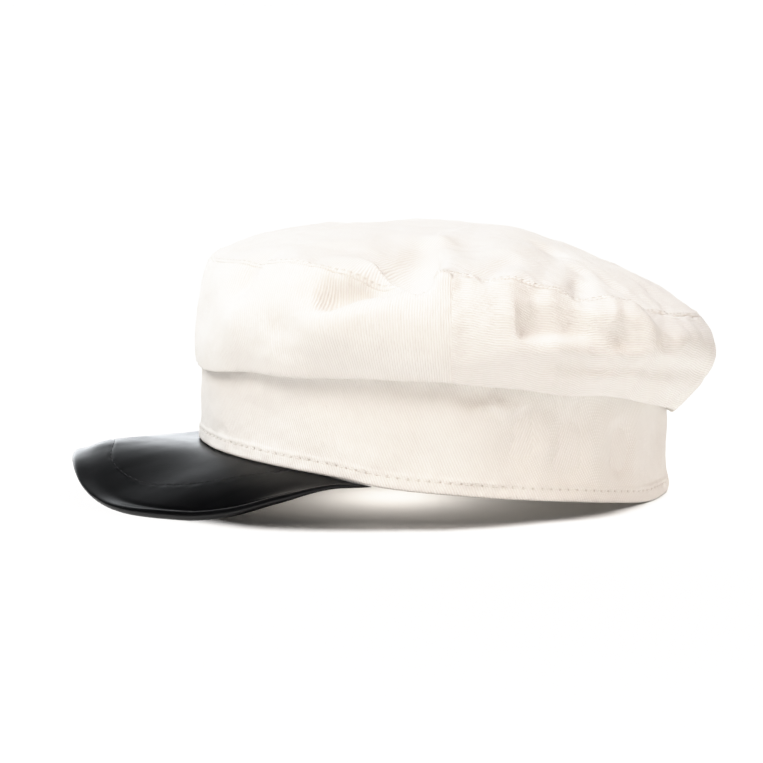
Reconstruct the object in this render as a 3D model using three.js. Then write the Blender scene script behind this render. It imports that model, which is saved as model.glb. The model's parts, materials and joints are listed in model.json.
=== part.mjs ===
// A sailor cap lying on a table: a soft cloth crown over an upright headband, and a moulded visor.
// Millimetres. +X is the wearer's left, -Y the front, +Z up. The table is at z = 0.
import * as THREE from 'three';

// Clearance between two pieces that are sewn together
const GAP = 0.3;

// Headband: an oval loop that fits the head, splayed a little at its lower edge
const HEAD_LENGTH = 196;
const HEAD_WIDTH = 170;
const BAND_WALL = 2;
const BAND_HEIGHT = 54;
const BAND_SPLAY = 2;
const FRONT_LIFT = 22.5;

// Crown: set back on the band and sized on it, its side cloth hanging over the band and turned
// under. SIDE_SEAM is the left side seam's angle from the wearer's left, towards the back.
const CROWN_WALL = 1.5;
const CROWN_HEIGHT = 114;
const CROWN_RADIUS = HEAD_LENGTH / 2 + BAND_WALL;
const CROWN_SETBACK = 11;
const SIDE_SEAM = -8;
const OVERHANG = 10;
const LEDGE_RISE = 1.5;
const LEDGE_SAG = 0.6;

// Visor: an arched board under the front of the band, with a rolled edge. Its outline in plan is an
// ellipse that VISOR_SQUARE makes a little squarer: at 1 it would be a true ellipse.
const VISOR_WIDTH = 172;
const VISOR_REACH = 157.5;
const VISOR_CORNER = 42;
const VISOR_SQUARE = 0.8;
const VISOR_BOARD = 3;
const BOARD_END_ANGLE = 88;
const PIPING_RADIUS = 2.1;
const RIM_RISE = 14.5;

// Folds: the depth and half width that the fold tables count in
const FOLD_DEPTH = 6;
const FOLD_WIDTH = 12;

const CLOTH = { color: 0xf0ebe1, roughness: 0.92, metalness: 0 };
const VISOR_LEATHER = { color: 0x0d0d10, roughness: 0.38, metalness: 0 };

// Lower edge of the band: along = share of its length from back to front, lift = share of FRONT_LIFT.
// It lies on the table at the back.
const LOWER_EDGE = [
  { along: 0, lift: 0 },
  { along: 0.07, lift: 0 },
  { along: 0.15, lift: 0.12 },
  { along: 0.25, lift: 0.26 },
  { along: 0.5, lift: 0.5 },
  { along: 0.65, lift: 0.64 },
  { along: 0.75, lift: 0.8 },
  { along: 0.87, lift: 0.91 },
  { along: 1, lift: 1 },
];

// Crown sections from the front (-90 degrees) by the side (0) to the back (90), alike on both sides.
// seam and bulge are shares of CROWN_RADIUS: how far the top seam and the side's fullest place stand
// from the crown's middle line. overhang = share of OVERHANG by which the lowest fold clears the band.
const CROWN_REACH = [
  { angle: -90, seam: 1.06, bulge: 1.137, overhang: 0.28 },
  { angle: -45, seam: 1.03, bulge: 1.14, overhang: 0.76 },
  { angle: 0, seam: 0.95, bulge: 1.05, overhang: 0.93 },
  { angle: 45, seam: 1.01, bulge: 1.11, overhang: 0.9 },
  { angle: 90, seam: 1.035, bulge: 1.1, overhang: 0.23 },
];

// The same sections' heights, shares of CROWN_HEIGHT: the top cloth at a quarter, a half and three
// quarters of the way to its seam, the seam, and the lowest fold.
const CROWN_RISE = [
  { angle: -90, quarter: 0.997, half: 0.995, threeQuarters: 0.969, seam: 0.864, fold: 0.491 },
  { angle: -45, quarter: 1, half: 0.995, threeQuarters: 0.969, seam: 0.904, fold: 0.531 },
  { angle: 0, quarter: 0.998, half: 0.987, threeQuarters: 0.952, seam: 0.89, fold: 0.513 },
  { angle: 45, quarter: 0.987, half: 0.943, threeQuarters: 0.877, seam: 0.785, fold: 0.412 },
  { angle: 90, quarter: 0.982, half: 0.89, threeQuarters: 0.807, seam: 0.665, fold: 0.298 },
];

// Dents and folds of the crown. line = places [angle, way] that the fold runs through: angle in
// degrees from the wearer's left (0) by the back (90), way 0 at the crown's middle, 1 at the top
// seam, 2 at the lowest fold. width = share of FOLD_WIDTH. push = inwards and drop = downwards,
// shares of FOLD_DEPTH; a minus sign makes a ridge.
const CROWN_FOLDS = [
  { name: 'pinch over the left temple', width: 0.8, push: 0.55, drop: 0.9,
    line: [[-21, 0.6], [-19, 0.78], [-22, 0.97], [-30, 1.18], [-36, 1.3]] },
  { name: 'ridge behind the pinch', width: 0.5, push: -0.25, drop: -0.3,
    line: [[-16, 0.5], [-13, 0.82], [-11, 1.04]] },
  { name: 'swell below the pinch', width: 0.8, push: -0.4, drop: 0, line: [[-38, 1.52], [-24, 1.34]] },
  { name: 'dimple at the left front', width: 0.6, push: 0.5, drop: 0.3, line: [[-60, 0.96], [-61, 1.18]] },
  { name: 'swell below the dimple', width: 0.7, push: -0.3, drop: 0, line: [[-58, 1.36], [-60, 1.5]] },
  { name: 'crease in the front panel', width: 0.5, push: 0.2, drop: 0, line: [[-39, 1.42], [-45, 1.6]] },
  { name: 'hollow in the top', width: 0.8, push: 0, drop: 0.35, line: [[-3, 0.45], [-3, 0.7]] },
  { name: 'tuck above the side seam', width: 0.5, push: 0.1, drop: 0.3, line: [[10, 0.82], [-1, 0.98]] },
  { name: 'crease across the top', width: 0.6, push: 0.25, drop: 0.5,
    line: [[42, 0.5], [22, 0.74], [12, 1.03]] },
  { name: 'dent behind the side seam', width: 1.1, push: 0.75, drop: 0.1, line: [[12, 1.2], [11, 1.42]] },
  { name: 'ridge below the dent', width: 0.5, push: -0.35, drop: 0, line: [[4, 1.66], [22, 1.6]] },
  { name: 'dimple at the back seam', width: 0.5, push: 0.2, drop: 0.4, line: [[34, 0.78], [22, 1.01]] },
  { name: 'dent at the left back', width: 0.6, push: 0.35, drop: 0, line: [[23, 1.45], [32, 1.41]] },
  { name: 'swell under the back seam', width: 0.6, push: -0.3, drop: 0, line: [[26, 1.17], [38, 1.13]] },
  { name: 'swell at the left back', width: 0.8, push: -0.3, drop: 0, line: [[40, 1.26], [56, 1.2]] },
  { name: 'long fold over the left back', width: 0.5, push: 0.3, drop: 0,
    line: [[16, 1.72], [34, 1.7], [63, 1.66]] },
  { name: 'dent at the back', width: 0.8, push: 0.35, drop: 0.1, line: [[108, 1.3], [122, 1.42]] },
  { name: 'pinch at the back seam', width: 0.8, push: 0.2, drop: 0.4, line: [[112, 0.7], [106, 1]] },
  { name: 'pinch over the right back', width: 0.9, push: 0.45, drop: 0.5,
    line: [[152, 0.6], [146, 1], [154, 1.35]] },
  { name: 'long fold over the right back', width: 0.5, push: 0.3, drop: 0,
    line: [[120, 1.68], [150, 1.72], [172, 1.7]] },
  { name: 'dent ahead of the right seam', width: 1, push: 0.6, drop: 0.1, line: [[190, 1.3], [204, 1.42]] },
  { name: 'pinch over the right temple', width: 0.8, push: 0.5, drop: 0.7,
    line: [[224, 0.5], [210, 0.8], [216, 1.15], [222, 1.3]] },
  { name: 'dimple at the right front', width: 0.7, push: 0.4, drop: 0.2, line: [[246, 1.1], [250, 1.35]] },
];

// Soft swells of the band. line = places [angle, height]: height 0 at its lower edge, 1 at its top.
const BAND_FOLDS = [
  { name: 'swell under the side seam', width: 1.2, push: -0.22, drop: 0, line: [[-8, 0.72], [2, 0.6]] },
  { name: 'upright fold at the left back', width: 0.8, push: 0.25, drop: 0, line: [[28, 0.2], [26, 0.62]] },
  { name: 'upright fold at the back', width: 0.9, push: 0.22, drop: 0, line: [[62, 0.22], [64, 0.58]] },
  { name: 'hollow at the left front', width: 1.4, push: 0.18, drop: 0, line: [[-52, 0.3], [-40, 0.5]] },
  { name: 'upright fold at the right back', width: 0.9, push: 0.25, drop: 0, line: [[140, 0.2], [144, 0.6]] },
  { name: 'hollow at the right', width: 1.3, push: 0.2, drop: 0, line: [[186, 0.3], [200, 0.5]] },
];

// Visor sections from the front (0 degrees) to a corner (90). rim = the rolled edge's height over
// the table, a share of RIM_RISE. round = how late the board curves down to its rim: 1 is straight.
// thick = share of VISOR_BOARD and PIPING_RADIUS: both get thinner towards the corner.
const VISOR = [
  { angle: 0, rim: 0.9, round: 7, thick: 1 },
  { angle: 5, rim: 0.86, round: 4, thick: 1 },
  { angle: 10, rim: 0.74, round: 2.6, thick: 1 },
  { angle: 15, rim: 0.58, round: 2, thick: 1 },
  { angle: 20, rim: 0.42, round: 1.7, thick: 1 },
  { angle: 30, rim: 0.16, round: 1.45, thick: 1 },
  { angle: 40, rim: 0.03, round: 1.5, thick: 1 },
  { angle: 50, rim: 0, round: 1.6, thick: 1 },
  { angle: 60, rim: 0, round: 1.6, thick: 1 },
  { angle: 70, rim: 0.17, round: 1.4, thick: 1 },
  { angle: 80, rim: 0.59, round: 1.2, thick: 0.85 },
  { angle: 90, rim: 1, round: 1, thick: 0.5 },
];

const { degToRad, radToDeg, lerp, clamp, smoothstep } = THREE.MathUtils;

// Smooth curve through the rows of a table: the value of one column where another stands at `at`
function along(rows, place, column, at) {
  const last = rows.length - 2;
  let i = 0;
  while (i < last && at > rows[i + 1][place]) i += 1;
  const slope = (k) => (rows[k + 1][column] - rows[k][column]) / (rows[k + 1][place] - rows[k][place]);
  const span = rows[i + 1][place] - rows[i][place];
  const leaving = (i > 0 ? (slope(i - 1) + slope(i)) / 2 : slope(i)) * span;
  const arriving = (i < last ? (slope(i) + slope(i + 1)) / 2 : slope(i)) * span;
  const t = (at - rows[i][place]) / span;
  const rise = 3 * t ** 2 - 2 * t ** 3;
  return rows[i][column] * (1 - rise) + rows[i + 1][column] * rise
    + leaving * (t ** 3 - 2 * t ** 2 + t) + arriving * (t ** 3 - t ** 2);
}

const steps = (from, to, count) => Array.from({ length: count + 1 }, (_, i) => lerp(from, to, i / count));

// Quadratic curve from a by the pull of b to c
const bend = (a, b, c, t) => (1 - t) ** 2 * a + 2 * t * (1 - t) * b + t ** 2 * c;

// Headband
const BAND_LONG = HEAD_LENGTH / 2 + BAND_WALL;
const BAND_WIDE = HEAD_WIDTH / 2 + BAND_WALL;
const splay = (height) => BAND_SPLAY * Math.max(0, 1 - height) ** 1.5;

function lowerEdge(y) {
  const half = BAND_LONG + BAND_SPLAY;
  const share = clamp((half - y) / (2 * half), 0, 1);
  return FRONT_LIFT * Math.max(0, along(LOWER_EDGE, 'along', 'lift', share));
}

// A place on the band's outer face, or `out` beyond it
function bandFace(angle, height, out = 0) {
  const turn = degToRad(angle);
  const foot = lowerEdge((BAND_LONG + BAND_SPLAY) * Math.sin(turn));
  const x = (BAND_WIDE + splay(height) + out) * Math.cos(turn);
  const y = (BAND_LONG + splay(height) + out) * Math.sin(turn);
  return new THREE.Vector3(x, y, foot + BAND_HEIGHT * height);
}

// How far the band's outer face is from the crown's middle line, at an angle and a height in mm
function bandReach(angle, z) {
  const turn = degToRad(angle);
  const fromEdge = (z - lowerEdge(BAND_LONG * Math.sin(turn))) / BAND_HEIGHT;
  const wide = BAND_WIDE + splay(fromEdge);
  const long = BAND_LONG + splay(fromEdge);
  const a = (Math.cos(turn) / wide) ** 2 + (Math.sin(turn) / long) ** 2;
  const b = CROWN_SETBACK * Math.sin(turn) / long ** 2;
  const c = (CROWN_SETBACK / long) ** 2 - 1;
  return (Math.sqrt(b ** 2 - a * c) - b) / a;
}

// A half table's rows, mirrored past its ends so that the curve runs on smoothly there
const mirrored = (rows) => [
  { ...rows[1], angle: 2 * rows[0].angle - rows[1].angle },
  ...rows,
  { ...rows.at(-2), angle: 2 * rows.at(-1).angle - rows.at(-2).angle },
];

// Crown
const REACH_RING = mirrored(CROWN_REACH);
const RISE_RING = mirrored(CROWN_RISE);
const TOP_KNOTS = ['quarter', 'half', 'threeQuarters', 'seam'];
const TOP_EDGE_SLOPE = 1.35;
const LEDGE_WAY = 0.3;

// A place on the crown's cloth before it is dented: way 0 in the middle of the top, 1 at the top
// seam, 2 at the lowest fold, and from there under the crown to the band
function crownFace(angle, way) {
  const turned = ((angle + 90) % 360 + 360) % 360 - 90;
  const side = turned > 90 ? 180 - turned : turned;
  const reachOf = (column) => along(REACH_RING, 'angle', column, side);
  const riseOf = (column) => CROWN_HEIGHT * along(RISE_RING, 'angle', column, side);
  const seam = CROWN_RADIUS * reachOf('seam');
  const seamUp = riseOf('seam');
  const foldUp = riseOf('fold');
  const band = bandReach(angle, foldUp + LEDGE_RISE);
  const fold = band + OVERHANG * reachOf('overhang');
  let reach;
  let up;
  if (way <= 1) {
    const knots = [CROWN_HEIGHT, ...TOP_KNOTS.map(riseOf)];
    const i = clamp(Math.floor(way * 4), 0, 3);
    const t = way * 4 - i;
    const leaving = i === 0 ? 0 : (knots[i + 1] - knots[i - 1]) / 2;
    const arriving = i === 3 ? (knots[4] - knots[3]) * TOP_EDGE_SLOPE : (knots[i + 2] - knots[i]) / 2;
    const rise = 3 * t ** 2 - 2 * t ** 3;
    reach = seam * way;
    up = knots[i] * (1 - rise) + knots[i + 1] * rise
      + leaving * (t ** 3 - 2 * t ** 2 + t) + arriving * (t ** 3 - t ** 2);
  } else if (way <= 2) {
    const pull = 2 * CROWN_RADIUS * reachOf('bulge') - (seam + fold) / 2;
    reach = bend(seam, pull, fold, way - 1);
    up = lerp(seamUp, foldUp, way - 1);
  } else {
    const t = (way - 2) / LEDGE_WAY;
    reach = bend(fold, lerp(fold, band, 0.25), band + GAP, t);
    up = bend(foldUp, foldUp - LEDGE_SAG, foldUp + LEDGE_RISE, t);
  }
  const turn = degToRad(angle);
  return new THREE.Vector3(reach * Math.cos(turn), CROWN_SETBACK + reach * Math.sin(turn), up);
}

// Press the folds of a table into a face. They fade out where `fade` falls to 0.
function dented(face, folds, middleY, fade) {
  const ridges = folds.map((fold) => ({ ...fold, places: traced(face, fold.line) }));
  return (angle, way) => {
    const place = face(angle, way);
    const shift = new THREE.Vector3();
    for (const { places, width, push, drop } of ridges) {
      const away = distance(place, places) / (width * FOLD_WIDTH);
      const depth = FOLD_DEPTH * Math.exp(-(away ** 2));
      shift.x -= push * depth * place.x / CROWN_RADIUS;
      shift.y -= push * depth * (place.y - middleY) / CROWN_RADIUS;
      shift.z -= drop * depth;
    }
    return place.addScaledVector(shift, fade(way));
  };
}

// Points along a line of [angle, way] places on a face
function traced(face, line) {
  const points = [];
  for (let i = 0; i + 1 < line.length; i += 1) {
    for (const t of [0, 0.25, 0.5, 0.75]) {
      points.push(face(lerp(line[i][0], line[i + 1][0], t), lerp(line[i][1], line[i + 1][1], t)));
    }
  }
  points.push(face(...line.at(-1)));
  return points;
}

function distance(place, points) {
  let nearest = Infinity;
  const closest = new THREE.Vector3();
  for (let i = 0; i + 1 < points.length; i += 1) {
    new THREE.Line3(points[i], points[i + 1]).closestPointToPoint(place, true, closest);
    nearest = Math.min(nearest, closest.distanceTo(place));
  }
  return nearest;
}

// The face one wall behind another, along its normals. Both pieces that meet at the top seam take
// the seam's own normal.
function backOf(face, wall) {
  return (u, v) => {
    const at = Math.abs(v - 1) < 0.01 ? 1 : v;
    const down = face(u, at + 0.02).sub(face(u, at - 0.02));
    const across = face(u + 0.5, at).sub(face(u - 0.5, at));
    const normal = down.cross(across);
    if (normal.length() < 1e-6) normal.set(0, 0, 1);
    return face(u, v).addScaledVector(normal.normalize(), -wall);
  };
}

// A sheet with a front face, a back face and edges. The grid runs round in u and outwards or down
// in v. loop joins the last column to the first; pole draws the first row together to one point.
function sheet(front, back, us, vs, { loop = false, pole = false } = {}) {
  const fronts = [];
  const backs = [];
  const numbers = new Map();
  const corner = (i, j) => {
    const column = loop ? i % us.length : i;
    const key = pole && j === 0 ? 'pole' : `${column} ${j}`;
    if (!numbers.has(key)) {
      numbers.set(key, fronts.length);
      fronts.push(front(us[column], vs[j]));
      backs.push(back(us[column], vs[j]));
    }
    return numbers.get(key);
  };
  const faces = [];
  for (let i = 0; i < us.length - (loop ? 0 : 1); i += 1) {
    for (let j = 0; j + 1 < vs.length; j += 1) {
      const [a, b, c, d] = [corner(i, j), corner(i, j + 1), corner(i + 1, j + 1), corner(i + 1, j)];
      faces.push([a, b, c]);
      if (a !== d) faces.push([a, c, d]);
    }
  }
  return closed(fronts, backs, faces);
}

// A closed body from a front face, the back face one wall behind it and the edges between the two
function closed(fronts, backs, faces) {
  const shift = fronts.length;
  const edges = new Set(faces.flatMap(([a, b, c]) => [`${a} ${b}`, `${b} ${c}`, `${c} ${a}`]));
  const triangles = [...faces, ...faces.map(([a, b, c]) => [c + shift, b + shift, a + shift])];
  for (const edge of edges) {
    const [a, b] = edge.split(' ').map(Number);
    if (!edges.has(`${b} ${a}`)) triangles.push([b, a, a + shift], [b, a + shift, b + shift]);
  }
  return solid([...fronts, ...backs], triangles);
}

function solid(points, triangles) {
  const geometry = new THREE.BufferGeometry();
  geometry.setFromPoints(points);
  geometry.setIndex(triangles.flat());
  geometry.computeVertexNormals();
  return geometry;
}

// Visor: from the band's foot out to the rolled edge. turn is 0 at the front and 90 at the left corner.
const RIM_HALF = VISOR_WIDTH / 2;
const RIM_DEEP = VISOR_REACH - VISOR_CORNER;
const FOOT_LONG = BAND_LONG + BAND_SPLAY;
const FOOT_WIDE = BAND_WIDE + BAND_SPLAY;
const VISOR_RING = mirrored(VISOR);
const visorAt = (turn, column) => along(VISOR_RING, 'angle', column, Math.abs(turn));
const rollRadius = (turn) => PIPING_RADIUS * visorAt(turn, 'thick');
const FOOT_CORNER = FOOT_WIDE * Math.sqrt(1 - (VISOR_CORNER / FOOT_LONG) ** 2);

// A place on the visor's outline in plan, `inside` mm in from its edge, and the height of its rim
function rimPlace(turn, inside) {
  const [sine, cosine] = [Math.sin(degToRad(turn)), Math.max(0, Math.cos(degToRad(turn)))];
  const outwards = new THREE.Vector3(sine / RIM_HALF, -cosine / RIM_DEEP, 0).normalize();
  const x = RIM_HALF * Math.sign(sine) * Math.abs(sine) ** VISOR_SQUARE;
  const y = -VISOR_CORNER - RIM_DEEP * cosine ** VISOR_SQUARE;
  return new THREE.Vector3(x, y, RIM_RISE * Math.max(0, visorAt(turn, 'rim')))
    .addScaledVector(outwards, -inside);
}

// The visor's upper face: way 0 at the band, 1 at the rolled edge, -1 at the inner end of the strip
// that is sewn up under the band
function visorFace(turn, way) {
  const x = FOOT_CORNER * Math.sin(degToRad(turn));
  const y = -FOOT_LONG * Math.sqrt(1 - (x / FOOT_WIDE) ** 2);
  const foot = new THREE.Vector3(x, y, lowerEdge(y) - GAP);
  if (way < 0) {
    const inwards = new THREE.Vector3(x / FOOT_WIDE ** 2, y / FOOT_LONG ** 2, 0).normalize();
    return foot.addScaledVector(inwards, BAND_WALL * way);
  }
  const edge = rimPlace(turn, 2 * rollRadius(turn) + GAP);
  edge.z += rollRadius(turn) + visorAt(turn, 'thick') * VISOR_BOARD / 2;
  const fall = way ** visorAt(turn, 'round');
  return new THREE.Vector3(lerp(foot.x, edge.x, way), lerp(foot.y, edge.y, way), lerp(foot.z, edge.z, fall));
}

function visorBoard() {
  const turns = steps(-BOARD_END_ANGLE, BOARD_END_ANGLE, 32);
  const ways = [-1, 0, 0.15, 0.35, 0.55, 0.7, 0.82, 0.9, 0.95, 0.98, 1];
  const under = (turn, way) => {
    const place = visorFace(turn, way);
    place.z -= VISOR_BOARD * visorAt(turn, 'thick');
    return place;
  };
  return sheet(visorFace, under, turns, ways);
}

// The rolled edge: a cord along the visor's outline
function visorPiping() {
  const sides = 8;
  const turns = steps(-90, 90, 40);
  const points = [];
  const triangles = [];
  for (const turn of turns) {
    const radius = rollRadius(turn);
    const middle = rimPlace(turn, radius);
    middle.z += radius;
    const outwards = rimPlace(turn, 0).sub(rimPlace(turn, 1));
    for (let k = 0; k < sides; k += 1) {
      const round = 2 * Math.PI * (k + 0.5) / sides;
      const point = middle.clone().addScaledVector(outwards, radius * Math.cos(round));
      point.z += radius * Math.sin(round) / Math.cos(Math.PI / sides);
      points.push(point);
    }
  }
  const last = turns.length - 1;
  const at = (i, k) => i * sides + k % sides;
  for (let k = 0; k < sides; k += 1) {
    for (let i = 0; i < last; i += 1) {
      triangles.push([at(i, k), at(i + 1, k + 1), at(i, k + 1)], [at(i, k), at(i + 1, k), at(i + 1, k + 1)]);
    }
    if (k > 0 && k < sides - 1) {
      triangles.push([at(0, 0), at(0, k), at(0, k + 1)], [at(last, 0), at(last, k + 1), at(last, k)]);
    }
  }
  return solid(points, triangles);
}

// The pieces
const crownFade = (way) => 1 - smoothstep(way, 1.75, 1.98);
const crownCloth = dented(crownFace, CROWN_FOLDS, CROWN_SETBACK, crownFade);
const crownLining = backOf(crownCloth, CROWN_WALL);
const bandFade = (height) => 1 - smoothstep(Math.abs(height - 0.42), 0.25, 0.4);
const bandCloth = dented(bandFace, BAND_FOLDS, 0, bandFade);
const bandOutside = (angle, down) => bandCloth(angle, 1 - down);
const bandInside = (angle, down) => {
  const height = 1 - down;
  const dent = bandCloth(angle, height).sub(bandFace(angle, height));
  return bandFace(angle, height, -BAND_WALL).add(dent);
};

const TOP_END = 1 - GAP / 2 / CROWN_RADIUS;
const SIDE_START = 1 + GAP / 2 / (CROWN_HEIGHT * (CROWN_RISE[2].seam - CROWN_RISE[2].fold));
const SEAM_TURN = radToDeg(GAP / 2 / CROWN_RADIUS);
const TOP_WAYS = [0, 0.2, 0.36, 0.5, 0.62, 0.73, 0.83, 0.92, TOP_END];
const SIDE_WAYS = [SIDE_START, 1.09, 1.19, 1.29, 1.39, 1.5, 1.61, 1.73, 1.87, 2, 2.12, 2 + LEDGE_WAY];
const BACK_COLUMNS = steps(SIDE_SEAM, 180 - SIDE_SEAM, 39);
const FRONT_COLUMNS = steps(180 - SIDE_SEAM, 360 + SIDE_SEAM, 33);
const AROUND = [...BACK_COLUMNS.slice(0, -1), ...FRONT_COLUMNS.slice(0, -1)];

// A side panel shares its columns with the top, so that the two stay level with each other at the
// top seam, and ends half a gap short of each side seam
function sidePanel(columns) {
  const inner = columns.slice(1, -1);
  const ends = [columns[0] + SEAM_TURN, columns.at(-1) - SEAM_TURN];
  return sheet(crownCloth, crownLining, [ends[0], ...inner, ends[1]], SIDE_WAYS);
}

const PIECES = [
  {
    name: 'crown_top',
    look: CLOTH,
    shape: sheet(crownCloth, crownLining, AROUND, TOP_WAYS, { loop: true, pole: true }),
  },
  { name: 'crown_front_panel', look: CLOTH, shape: sidePanel(FRONT_COLUMNS) },
  { name: 'crown_back_panel', look: CLOTH, shape: sidePanel(BACK_COLUMNS) },
  {
    name: 'headband',
    look: CLOTH,
    shape: sheet(bandOutside, bandInside, AROUND, steps(0, 1, 5), { loop: true }),
  },
  { name: 'visor', look: VISOR_LEATHER, shape: visorBoard() },
  { name: 'visor_piping', look: VISOR_LEATHER, shape: visorPiping() },
];

const cap = new THREE.Group();
cap.name = 'sailor_cap';
for (const { name, look, shape } of PIECES) {
  const piece = new THREE.Mesh(shape, new THREE.MeshStandardMaterial(look));
  piece.name = name;
  cap.add(piece);
}

// The origin is the middle of the cap's outline in plan, on the table
const outline = new THREE.Box3().setFromObject(cap);
const middle = outline.getCenter(new THREE.Vector3());
cap.position.set(-middle.x, -middle.y, -outline.min.z);
cap.updateMatrixWorld(true);

export default cap;
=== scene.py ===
"""A white sailor cap with a black visor, lying on a pale table: its looks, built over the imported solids.

Surfaces are worked out in millimetres around the middle of the headband (+X the wearer's left, -Y the
front, +Z up, the table at 0) and moved into the frame's place when a piece is made.
"""
import json
import math

import bpy
import numpy as np
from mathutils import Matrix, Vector

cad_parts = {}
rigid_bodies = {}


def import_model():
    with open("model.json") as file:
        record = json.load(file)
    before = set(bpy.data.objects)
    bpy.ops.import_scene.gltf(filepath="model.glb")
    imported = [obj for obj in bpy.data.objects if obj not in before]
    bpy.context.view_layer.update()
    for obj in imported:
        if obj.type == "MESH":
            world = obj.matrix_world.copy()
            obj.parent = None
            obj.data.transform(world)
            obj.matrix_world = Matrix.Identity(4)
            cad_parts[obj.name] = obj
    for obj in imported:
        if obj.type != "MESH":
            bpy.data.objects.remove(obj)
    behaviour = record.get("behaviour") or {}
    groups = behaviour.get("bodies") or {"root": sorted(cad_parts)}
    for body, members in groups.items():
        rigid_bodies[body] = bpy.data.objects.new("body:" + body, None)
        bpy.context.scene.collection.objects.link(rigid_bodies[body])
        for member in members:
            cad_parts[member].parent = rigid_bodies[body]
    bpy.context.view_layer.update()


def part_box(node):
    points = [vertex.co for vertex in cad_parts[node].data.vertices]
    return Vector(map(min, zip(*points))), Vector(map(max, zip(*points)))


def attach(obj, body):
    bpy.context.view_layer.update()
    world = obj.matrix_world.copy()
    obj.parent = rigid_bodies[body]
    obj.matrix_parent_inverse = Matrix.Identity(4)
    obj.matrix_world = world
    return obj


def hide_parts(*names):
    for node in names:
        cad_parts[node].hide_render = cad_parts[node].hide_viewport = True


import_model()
SCENE = bpy.context.scene

# The sizes that the solids are built from, in mm
GAP = 0.3
HEAD_LENGTH, HEAD_WIDTH = 196.0, 170.0
BAND_WALL, BAND_HEIGHT, BAND_SPLAY, FRONT_LIFT = 2.0, 54.0, 2.0, 22.5
CROWN_WALL, CROWN_HEIGHT = 1.5, 114.0
CROWN_RADIUS = HEAD_LENGTH / 2 + BAND_WALL
CROWN_SETBACK, SIDE_SEAM, OVERHANG, LEDGE_RISE, LEDGE_SAG = 11.0, -8.0, 10.0, 1.5, 0.6
VISOR_WIDTH, VISOR_REACH, VISOR_CORNER, VISOR_SQUARE = 172.0, 157.5, 42.0, 0.8
VISOR_BOARD, PIPING_RADIUS, RIM_RISE = 3.0, 2.1, 14.5
FOLD_DEPTH, FOLD_WIDTH = 6.0, 12.0
TOP_EDGE_SLOPE, LEDGE_WAY = 1.35, 0.3

# Radii and lengths in mm by which angles and ways are laid out flat, as cloth
CROWN_ROUND, SEAM_ROUND, SIDE_ROUND, BAND_ROUND = 102.0, 103.0, 104.0, 94.0
TOP_DOWN, SIDE_DOWN = 100.0, 52.0
MAP_UNIT = 100.0  # mm for 1 in a UV map

# Rows of stitches: mm from one to the next, and from the seam or the edge to the row
SEAM_PITCH, SEAM_STITCH = 3.0, 1.7
HEM_PITCH, HEM_STITCH = 4.0, 5.0
ARC_PITCH = 3.6

# The solids' tables, but for the visor's "round": its leather falls off a little sooner than the board
LOWER_EDGE = {"along": [0, 0.07, 0.15, 0.25, 0.5, 0.65, 0.75, 0.87, 1],
              "lift": [0, 0, 0.12, 0.26, 0.5, 0.64, 0.8, 0.91, 1]}
CROWN = {"angle": [-90, -45, 0, 45, 90],
         "seam_reach": [1.06, 1.03, 0.95, 1.01, 1.035],
         "bulge": [1.137, 1.14, 1.05, 1.11, 1.1],
         "overhang": [0.28, 0.76, 0.93, 0.9, 0.23],
         "quarter": [0.997, 1, 0.998, 0.987, 0.982],
         "half": [0.995, 0.995, 0.987, 0.943, 0.89],
         "three": [0.969, 0.969, 0.952, 0.877, 0.807],
         "seam": [0.864, 0.904, 0.89, 0.785, 0.665],
         "fold": [0.491, 0.531, 0.513, 0.412, 0.298]}
VISOR = {"angle": [0, 5, 10, 15, 20, 30, 40, 50, 60, 70, 80, 90],
         "rim": [0.9, 0.86, 0.74, 0.58, 0.42, 0.16, 0.03, 0, 0, 0.17, 0.59, 1],
         "round": [7, 4, 2.6, 1.9, 1.5, 1.25, 1.25, 1.3, 1.35, 1.3, 1.2, 1],
         "thick": [1, 1, 1, 1, 1, 1, 1, 1, 1, 1, 0.85, 0.5]}


def eased(a, b, leaving, arriving, t):
    """A smooth rise from a to b, with the slopes at its two ends."""
    rise = 3 * t**2 - 2 * t**3
    return (a * (1 - rise) + b * rise
            + leaving * (t**3 - 2 * t**2 + t) + arriving * (t**3 - t**2))


def along(table, place, column, at):
    """Smooth curve through a table's columns."""
    xs, ys = np.array(table[place], float), np.array(table[column], float)
    at = np.asarray(at, float)
    last = len(xs) - 2
    i = np.clip(np.searchsorted(xs[1:-1], at), 0, last)
    slopes = np.diff(ys) / np.diff(xs)
    span = xs[i + 1] - xs[i]
    leaving = np.where(i > 0, (slopes[np.maximum(i - 1, 0)] + slopes[i]) / 2, slopes[i]) * span
    arriving = np.where(i < last, (slopes[i] + slopes[np.minimum(i + 1, last)]) / 2, slopes[i]) * span
    return eased(ys[i], ys[i + 1], leaving, arriving, (at - xs[i]) / span)


def mirrored(table):
    """A half table run on past both ends as its mirror image."""
    turned = {}
    for name, values in table.items():
        if name == "angle":
            turned[name] = [2 * values[0] - values[1], *values, 2 * values[-1] - values[-2]]
        else:
            turned[name] = [values[1], *values, values[-2]]
    return turned


def paired(a, b):
    return np.broadcast_arrays(np.asarray(a, float), np.asarray(b, float))


def bend(a, b, c, t):
    """A curve from a to c that is pulled towards b."""
    return (1 - t) ** 2 * a + 2 * t * (1 - t) * b + t**2 * c


BAND_LONG = HEAD_LENGTH / 2 + BAND_WALL
BAND_WIDE = HEAD_WIDTH / 2 + BAND_WALL
FOOT_LONG = BAND_LONG + BAND_SPLAY
FOOT_WIDE = BAND_WIDE + BAND_SPLAY
CROWN_RING = mirrored(CROWN)
VISOR_RING = mirrored(VISOR)


def splay(height):
    return BAND_SPLAY * np.maximum(0, 1 - height) ** 1.5


def lower_edge(y):
    share = np.clip((FOOT_LONG - y) / (2 * FOOT_LONG), 0, 1)
    return FRONT_LIFT * np.maximum(0, along(LOWER_EDGE, "along", "lift", share))


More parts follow.
